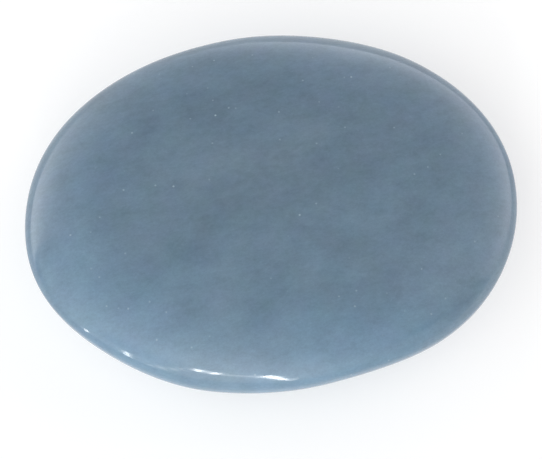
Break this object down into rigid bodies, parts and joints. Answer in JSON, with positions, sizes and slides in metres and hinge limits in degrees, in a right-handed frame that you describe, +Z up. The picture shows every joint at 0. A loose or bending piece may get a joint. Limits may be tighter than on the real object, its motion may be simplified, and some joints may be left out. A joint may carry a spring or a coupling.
{
  "type": "palm stone",
  "caption": "Polished blue-grey palm stone, a flattened oval pebble with a rounded rim, held in the hand or laid on a table.",
  "frame": {"origin": "under the middle of the stone, on the plane of the small flat spot that it rests on", "axes": "+X along the stone's long axis, +Y across it, +Z up out of the broad polished face"},
  "size_m": [0.07, 0.055, 0.016],
  "materials": {
    "polished_stone": "polished to a soft gloss, cloudy blue-grey with faint streaks and a few tiny pale specks"
  },
  "bodies": {
    "root": {"palm_stone": "polished_stone"}
  },
  "joints": []
}
